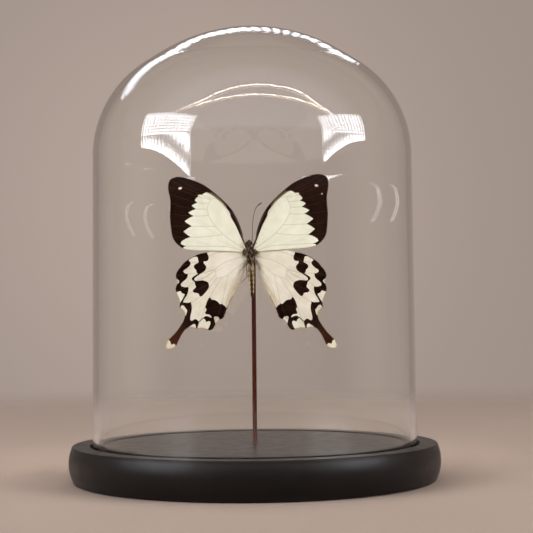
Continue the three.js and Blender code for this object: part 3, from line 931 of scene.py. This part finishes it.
for kind, margin, veins, marks_of, wing_set, material in (
    ("forewing", FOREWING_MARGIN, FOREWING_VEINS, forewing_marks, FOREWING_SET, FOREWING_SCALES),
    ("hindwing", HINDWING_MARGIN, HINDWING_VEINS, hindwing_marks, HINDWING_SET, HINDWING_SCALES),
):
    for side in (-1, 1):
        make_wing(kind, side, margin, veins, marks_of, wing_set, material)


# ---- body ----
def leaned(shape):
    """A shape of the body, given from the middle of the thorax, on the body's leaning line."""
    tilt = math.radians(BODY_TILT)
    points = shape[0]
    x = points[:, 0] * math.cos(tilt) - points[:, 2] * math.sin(tilt)
    z = points[:, 0] * math.sin(tilt) + points[:, 2] * math.cos(tilt)
    return np.stack([x, points[:, 1], z], 1) + INSECT, shape[1]


# Centres and half sizes; the two plates over the wing roots differ, the left one is a little fuller.
HEAD = ((-0.5, -3.8, 5.0), (1.45, 1.4, 1.75))
COLLAR = ((-0.2, -3.7, 2.6), (1.75, 1.6, 1.1))
CHEST = ((0.0, -3.4, -0.6), (2.55, 2.45, 3.4))
REAR_CHEST = ((0.0, -3.3, -3.8), (2.0, 1.9, 1.8))
LEFT_PLATE = ((-3.0, -4.45, 0.6), (1.15, 0.55, 1.8))
RIGHT_PLATE = ((2.7, -4.45, 0.4), (0.95, 0.55, 1.55))
EYE_OFFSET, EYE_RADIUS = (1.15, -0.25, 0.35), (0.78, 0.9, 1.0)
TONGUE_TURNS = 3.0
TONGUE_COIL = (1.0, 0.22)
ABDOMEN_TOP = (0.0, -3.1, -5.2)
# Radius and distance down from the abdomen's top.
ABDOMEN_RINGS = [
    (0.0, 0.0), (1.1, 0.25), (1.4, 1.6), (1.5, 4.0), (1.48, 7.0), (1.4, 10.0), (1.26, 13.0), (1.06, 16.0),
    (0.78, 18.2), (0.45, 19.2), (0.0, 19.6),
]
ABDOMEN_SEGMENTS = 8
ABDOMEN_SIDES = 40

thorax = leaned(merged([egg(*COLLAR, 0.12), egg(*CHEST, 0.1, 1.6), egg(*REAR_CHEST, 0.1, 1.2)]))
head = leaned(egg(*HEAD, 0.08))
shoulders = leaned(merged([egg(*LEFT_PLATE, 0.15), egg(*RIGHT_PLATE, 0.15)]))
show(mesh_of("thorax_cuticle", thorax, SHELL), "body_hair", "thorax")
show(mesh_of("head_cuticle", head, SHELL), "body_hair", "head")
show(mesh_of("shoulder_plates", shoulders, SHELL), "body_hair")


def make_eyes():
    centres = [np.array(HEAD[0]) + np.array(EYE_OFFSET) * (side, 1, 1) for side in (-1, 1)]
    eyes = [egg(centre, EYE_RADIUS, rings=20, sides=28) for centre in centres]
    show(mesh_of("eyes", leaned(merged(eyes)), EYE), "dark_horn")


def make_mouth():
    """Two palps in front of the face, and the tongue coiled between them."""
    x, y, z = HEAD[0]
    parts = []
    for side in (-1, 1):
        palp = [(x + side * 0.5, y + 1.0, z + 0.2), (x + side * 0.62, y + 1.5, z + 1.2),
                (x + side * 0.45, y + 1.0, z + 2.3)]
        path = through(palp, 0.25)
        parts.append(tube(path, np.linspace(0.34, 0.14, len(path))))
    angles = np.linspace(0, 2 * math.pi * TONGUE_TURNS, 110)
    radii = np.linspace(*TONGUE_COIL, len(angles))
    coil = [np.full(len(angles), x), y + 1.9 + radii * np.cos(angles), z - 0.2 + radii * np.sin(angles)]
    parts.append(tube(np.stack(coil, 1), np.linspace(0.13, 0.06, len(angles)), 8))
    show(mesh_of("palps_and_tongue", leaned(merged(parts)), HORN), "dark_horn")


def make_abdomen():
    """Eight rings, each swelling a little and tucked under the one before it."""
    profile = through(ABDOMEN_RINGS, 0.16)
    length = ABDOMEN_RINGS[-1][1]
    phase = profile[:, 1] / length * ABDOMEN_SEGMENTS
    swell = 1 + 0.05 * np.abs(np.sin(math.pi * phase)) ** 0.6 - 0.04
    angles = np.linspace(0, 2 * math.pi, ABDOMEN_SIDES, endpoint=False)
    rings, stripe, joint = [], [], []
    for (radius, down), part, share in zip(profile, phase, swell):
        count = 1 if radius < 1e-6 else ABDOMEN_SIDES
        around = angles[:count]
        reach = radius * share
        ring = [reach * np.sin(around), -reach * np.cos(around), np.full(count, -down)]
        rings.append(np.array(ABDOMEN_TOP) + np.stack(ring, 1))
        across = np.abs(np.sin(around)) * radius
        back = np.cos(around) > 0
        # The stripe is widest at each joint, which makes it a string of beads, and the last ring is all dark.
        bead = 0.62 + 0.34 * abs(math.cos(math.pi * part)) ** 4
        tip = 3.0 * max(0.0, (down - length + 2.2) / 2.2)
        waist = 0.5 * max(0.0, 1 - down / 3.0)
        stripe += list(np.where(back, bead - across, -1.0) + tip + waist)
        joint += [0.8 * (1 - abs(math.sin(math.pi * part))) ** 3] * count
    shape = leaned(skin(rings))
    marks = {"stripe": stripe, "joint": joint}
    show(mesh_of("abdomen_ringed", shape, ABDOMEN, marks), "abdomen_scales", "abdomen")
    return shape


make_eyes()
make_mouth()
abdomen = make_abdomen()

# ---- antenna and legs, from the middle of the thorax ----
ANTENNA_PATH = [(1.0, -3.9, 6.3), (1.3, -4.1, 11.5), (1.5, -4.5, 17.5), (3.2, -5.2, 24.2), (6.4, -6.0, 27.2)]
ANTENNA_RINGS = 46
LEG_PATHS = {
    "leg_fore_left": [(-0.9, -0.5, 1.2), (-2.2, 1.0, 2.9), (-1.8, 1.3, 4.9), (-1.2, 0.5, 6.3)],
    "leg_fore_right": [(0.9, -0.5, 1.2), (1.9, 1.0, 2.9), (1.2, 1.3, 4.9), (0.6, 0.5, 6.3)],
    "leg_mid_left": [(-0.6, -0.2, -1.8), (-1.5, 1.0, -6.0), (-1.2, 0.8, -12.0), (-0.6, 0.4, -16.2)],
    "leg_mid_right": [(2.8, -0.8, -0.6), (4.6, 1.4, -0.2), (6.4, 1.6, -3.0), (7.6, 1.0, -6.5)],
    "leg_hind_left": [(-1.7, -0.9, -3.6), (-2.3, -0.5, -7.4), (-1.9, -0.6, -12.8), (-4.8, -0.3, -15.9)],
    "leg_hind_right": [(2.9, -1.2, -3.6), (4.5, 0.9, -6.0), (6.5, 1.2, -8.5), (8.3, 0.8, -12.5)],
}
JOINT_RADII = (0.42, 0.27, 0.27)


def make_antenna():
    """A ringed stem that thickens into a club near its end."""
    path = through(ANTENNA_PATH, 0.12)
    share = np.linspace(0, 1, len(path))
    club = fade(share, 0.95, 0.82) * (1 - 0.45 * fade(share, 1.0, 0.95))
    rings = 1 - 0.14 * np.abs(np.cos(math.pi * ANTENNA_RINGS * share)) ** 6
    foot = fade(share, 0.0, 0.03) * 0.2
    points, faces = tube(path, (0.17 + foot + 0.2 * club) * rings, 10)
    show(mesh_of("antenna_clubbed", (points + INSECT, faces), HORN), "dark_horn", "antenna_right")


def make_leg(name, joints):
    """Thigh, shin and foot, with a thicker joint between each two and a pair of claws at the end."""
    joints = np.array(joints)
    thigh, shin, foot = (through([a, (a + b) / 2, b], 0.25) for a, b in zip(joints, joints[1:]))
    parts = [
        tube(thigh, np.linspace(0.34, 0.2, len(thigh)), 10),
        tube(shin, np.linspace(0.17, 0.24, len(shin)), 10),
        tube(foot, 0.12 + 0.05 * np.abs(np.sin(np.linspace(0, 5 * math.pi, len(foot)))), 8),
    ]
    for joint, radius in zip(joints, JOINT_RADII):
        parts.append(egg(joint, (radius,) * 3, rings=10, sides=12))
    end = joints[-1]
    way = (end - joints[-2]) / np.linalg.norm(end - joints[-2])
    for side in (-1, 1):
        hook = [way * 0.2, way * 0.5 + (side * 0.16, 0.05, 0), way * 0.6 + (side * 0.3, 0.2, 0)]
        parts.append(tube(through(end + np.array(hook), 0.1), 0.045, 6))
    points, faces = merged(parts)
    show(mesh_of(f"{name}_jointed", (points + INSECT, faces), HORN), "dark_horn", name)


make_antenna()
for name, joints in LEG_PATHS.items():
    make_leg(name, joints)


# ---- hair on the body ----
def by_height(shape, full, none):
    """1 for points that far above the thorax's middle as full says, 0 as far as none, smooth between."""
    return fade(shape[0][:, 2] - INSECT[2], full, none)


DOWN = (0.0, -0.1, -1.0)
for name, shape, hairy, material, *coat in (
    ("thorax_hair", thorax, 0.35 + 0.65 * by_height(thorax, 1.0, -5.0), THORAX_HAIR,
     36.0, 1.15, 0.05, DOWN, 0.6, 0.45, 0.35, 3),
    ("head_hair", head, np.ones(len(head[0])), HEAD_HAIR,
     40.0, 0.8, 0.04, (0.0, -0.3, 1.0), 0.45, 0.45, 0.3, 5),
    ("shoulder_hair", shoulders, np.ones(len(shoulders[0])), SHOULDER_HAIR,
     30.0, 1.2, 0.05, (0.0, -0.2, -1.0), 0.55, 0.4, 0.3, 17),
    ("abdomen_hair", abdomen, by_height(abdomen, -8.5, -15.0), SHOULDER_HAIR,
     26.0, 1.3, 0.04, DOWN, 0.75, 0.3, 0.3, 7),
):
    grow(name, shape, hairy, material, "body_hair", *coat)

# ---- stage, light and camera ----
WALL = "A8988E"
# The floor is given in millimetres, and the lamps and strips in metres.
FLOOR_RADIUS, FLOOR_HEIGHT, FLOOR_SIDES = 3000.0, -0.4, 96
FOCUS = Vector((0, 0, 0.15))
CORNICE_HEIGHT, CORNICE_HALF_WIDTH = 1.2, 0.006
CORNICE_STRAIGHT = [(-1.02, -1.17), (0.1, -1.04), (0.9, -1.06), (1.9, -1.15)]
CORNICE_BOWED = [
    (-1.78, -1.05), (-0.96, -1.03), (-0.48, -0.88), (0.0, -0.73), (0.4, -0.72), (0.8, -0.8), (1.1, -0.95),
    (1.9, -1.11),
]
# A half width and places, all as azimuth and elevation in degrees.
WINDOW_EDGES = [
    (1.2, [(88.0, 7.6), (95.0, 7.3), (97.8, 6.5), (95.0, 5.7), (89.0, 4.9)]),
    (1.1, [(112.0, 7.6), (118.0, 7.3), (121.0, 6.5), (118.0, 5.8), (111.0, 5.0)]),
]


def make_floor():
    angles = np.linspace(0, 2 * math.pi, FLOOR_SIDES, endpoint=False)
    rim = [FLOOR_RADIUS * np.cos(angles), FLOOR_RADIUS * np.sin(angles), np.full(FLOOR_SIDES, FLOOR_HEIGHT)]
    material = finish_of("board, matt paint", pale_floor)
    tree = material.node_tree
    shader = next(n for n in tree.nodes if n.type == "BSDF_PRINCIPLED")
    away = put(tree, ARROWS, place(tree), operation="LENGTH")
    gone = put(tree, "ShaderNodeBsdfTransparent")
    faded = put(tree, "ShaderNodeMixShader", put(tree, RISE, away, 0.45, 1.3), shader, gone)
    put(tree, "ShaderNodeOutputMaterial", {"Surface": faded}, is_active_output=True)
    mesh = mesh_of("floor", (np.stack(rim, 1), [tuple(range(FLOOR_SIDES))]), material)
    mesh.transform(Matrix.Scale(MM, 4))
    linked("floor", mesh)


def dotted_glow(columns, rows, brightness):
    """The face of a panel lamp: rows of small bright lamps behind a pale cloth."""

    def build(tree):
        across = put(tree, "ShaderNodeSeparateXYZ", put(tree, "ShaderNodeUVMap")).outputs
        waves = []
        for axis, count in (("X", columns), ("Y", rows)):
            angle = put(tree, MATH, across[axis], 2 * math.pi * count, operation="MULTIPLY")
            waves.append(put(tree, MATH, angle, operation="COSINE"))
        lamps = put(tree, MATH, *waves, operation="ADD")
        spots = put(tree, RISE, lamps, -0.5, 1.4, 0.12 * brightness, 3.6 * brightness)
        return {"Color": "F6F8FF", "Strength": spots}

    return build


def facing(azimuth, elevation, away, turn=0):
    """A place that faces the dome: azimuth from the camera's side, elevation, and distance."""
    a, e = math.radians(azimuth), math.radians(elevation)
    way = Vector((math.sin(a) * math.cos(e), -math.cos(a) * math.cos(e), math.sin(e)))
    turned_way = way.to_track_quat("Z", "Y").to_matrix() @ Matrix.Rotation(math.radians(turn), 3, "Z")
    return Matrix.Translation(FOCUS + way * away) @ turned_way.to_4x4()


def make_lamp(name, at, width, height, brightness, glow):
    """A soft panel: the lamp lights the scene, and only the glass mirrors its glowing face."""
    lamp = bpy.data.lights.new(name, "AREA")
    lamp.shape = "RECTANGLE"
    lamp.size, lamp.size_y = width, height
    lamp.energy = brightness * width * height * math.pi
    holder = linked(name, lamp)
    holder.matrix_world = at
    holder.visible_camera = holder.visible_glossy = holder.visible_transmission = False
    x, y = width / 2, height / 2
    mesh = bpy.data.meshes.new(f"{name} face")
    mesh.from_pydata([(-x, -y, 0), (x, -y, 0), (x, y, 0), (-x, y, 0)], [], [(0, 1, 2, 3)])
    mesh.uv_layers.new(name="UVMap").uv.foreach_set("vector", [0, 0, 1, 0, 1, 1, 0, 1])
    mesh.materials.append(finish_of(f"{name}, dotted glow", glow, "ShaderNodeEmission"))
    face = linked(mesh.name, mesh)
    face.matrix_world = at
    face.visible_camera = face.visible_diffuse = face.visible_shadow = False


def make_strips(name, lines, colour, strength):
    """Glowing strips that only the glass mirrors: each line is a row of (one edge, other edge) points."""
    points = [point for line in lines for edges in line for point in edges]
    starts = np.cumsum([0] + [2 * len(line) for line in lines])
    first_points = [i for low, high in zip(starts, starts[1:]) for i in range(low, high - 2, 2)]
    faces = [(i, i + 1, i + 3, i + 2) for i in first_points]
    glow = finish_of(name, lambda tree: {"Color": colour, "Strength": strength}, "ShaderNodeEmission")
    strips = linked(name, mesh_of(name, (points, faces), glow))
    strips.visible_camera = strips.visible_diffuse = False


def make_cornice():
    """Two thin warm strips of light over the camera, one straight and one bowed."""
    lines = [
        [[(x, y + side * CORNICE_HALF_WIDTH, CORNICE_HEIGHT) for side in (-1, 1)]
         for x, y in through(given, 0.1)]
        for given in (CORNICE_STRAIGHT, CORNICE_BOWED)
    ]
    make_strips("warm strip light", lines, "FFEBD2", 110.0)


def make_window_edges():
    """Bent bright lines beside the dome."""
    lines = [
        [[facing(azimuth + side * half_width, elevation, 1.3).translation for side in (-1, 1)]
         for azimuth, elevation in through(given, 0.5)]
        for half_width, given in WINDOW_EDGES
    ]
    make_strips("window edges", lines, "FFF6F2", 2.2)


def make_room():
    """A plain wall behind the object, and a room that only mirrored light meets."""
    world = bpy.data.worlds.new("plain wall, dark room before it")
    world.use_nodes = True
    tree = world.node_tree
    tree.nodes.clear()
    ways = put(tree, "ShaderNodeTexCoord").outputs["Generated"]
    way = put(tree, "ShaderNodeSeparateXYZ", ways).outputs
    # The room is dark before the dome, bright above that, and dim to the wall's left and right.
    outer, inner = put(tree, RISE, way["Y"], 0.5, 0.68, 0, 0.3), put(tree, RISE, way["Y"], 0.88, 0.97, 1, 0)
    beside = put(tree, MATH, outer, inner, operation="MULTIPLY")
    before = layered(tree, "120F0D", ("EEEEF8", way["Z"], 0.12, 0.28))
    room = layered(tree, WALL, (before, way["Y"], -0.45, 0.02, 1, 0), ("3A2E26", beside))
    # The wall is lit a little brighter behind the dome than at its sides; the object's own light stays even.
    off_centre = put(tree, ARROWS, ways, (-0.05, 0.99, 0.12), operation="DISTANCE")
    lit_wall = layered(tree, "B5A49A", ("A09188", off_centre, 0.0, 0.34))
    paths = put(tree, "ShaderNodeLightPath").outputs
    seen = put(tree, MATH, paths["Diffuse Depth"], 0.5, operation="LESS_THAN")
    mirrored = put(tree, MATH, paths["Glossy Depth"], 0.5, operation="GREATER_THAN")
    sky = layered(tree, WALL, (lit_wall, seen), (room, mirrored))
    put(tree, "ShaderNodeOutputWorld", {"Surface": put(tree, "ShaderNodeBackground", sky)})
    bpy.context.scene.world = world
    bpy.context.scene.view_settings.view_transform = "Standard"


make_floor()
make_lamp("left softbox", facing(-61.1, 18.6, 1.31, -3.4), 0.905, 0.42, 9.0, dotted_glow(14, 8, 7.5))
make_lamp("right softbox", facing(65.3, 17.75, 1.33, 2.9), 0.8, 0.36, 11.0, dotted_glow(13, 8, 7.0))
make_lamp("panel behind the top", facing(195, 39.0, 1.9), 2.2, 0.25, 3.0, dotted_glow(36, 2, 2.0))
make_cornice()
make_window_edges()
make_room()

# The lens in widths of its sensor, the place in millimetres and the turns from degrees.
LENS = 1140.1 / 533
SENSOR = 36.0
CAMERA_PLACE = (-0.693, -625.3, 73.5)
PITCH, YAW, ROLL = (math.radians(angle) for angle in (3.7713, 0.724, -0.5867))


def make_camera():
    forward = Vector((math.sin(YAW) * math.cos(PITCH), math.cos(YAW) * math.cos(PITCH), math.sin(PITCH)))
    level = Vector((math.cos(YAW), -math.sin(YAW), 0))
    upright = level.cross(forward)
    right = level * math.cos(ROLL) + upright * math.sin(ROLL)
    up = upright * math.cos(ROLL) - level * math.sin(ROLL)
    camera = linked("camera", bpy.data.cameras.new("camera"))
    camera.data.sensor_width = SENSOR
    camera.data.lens = LENS * SENSOR
    camera.data.clip_start, camera.data.clip_end = 0.05, 50
    turn = Matrix((right, up, -forward)).transposed().to_4x4()
    camera.matrix_world = Matrix.Translation(Vector(CAMERA_PLACE) * MM) @ turn
    bpy.context.scene.camera = camera


make_camera()
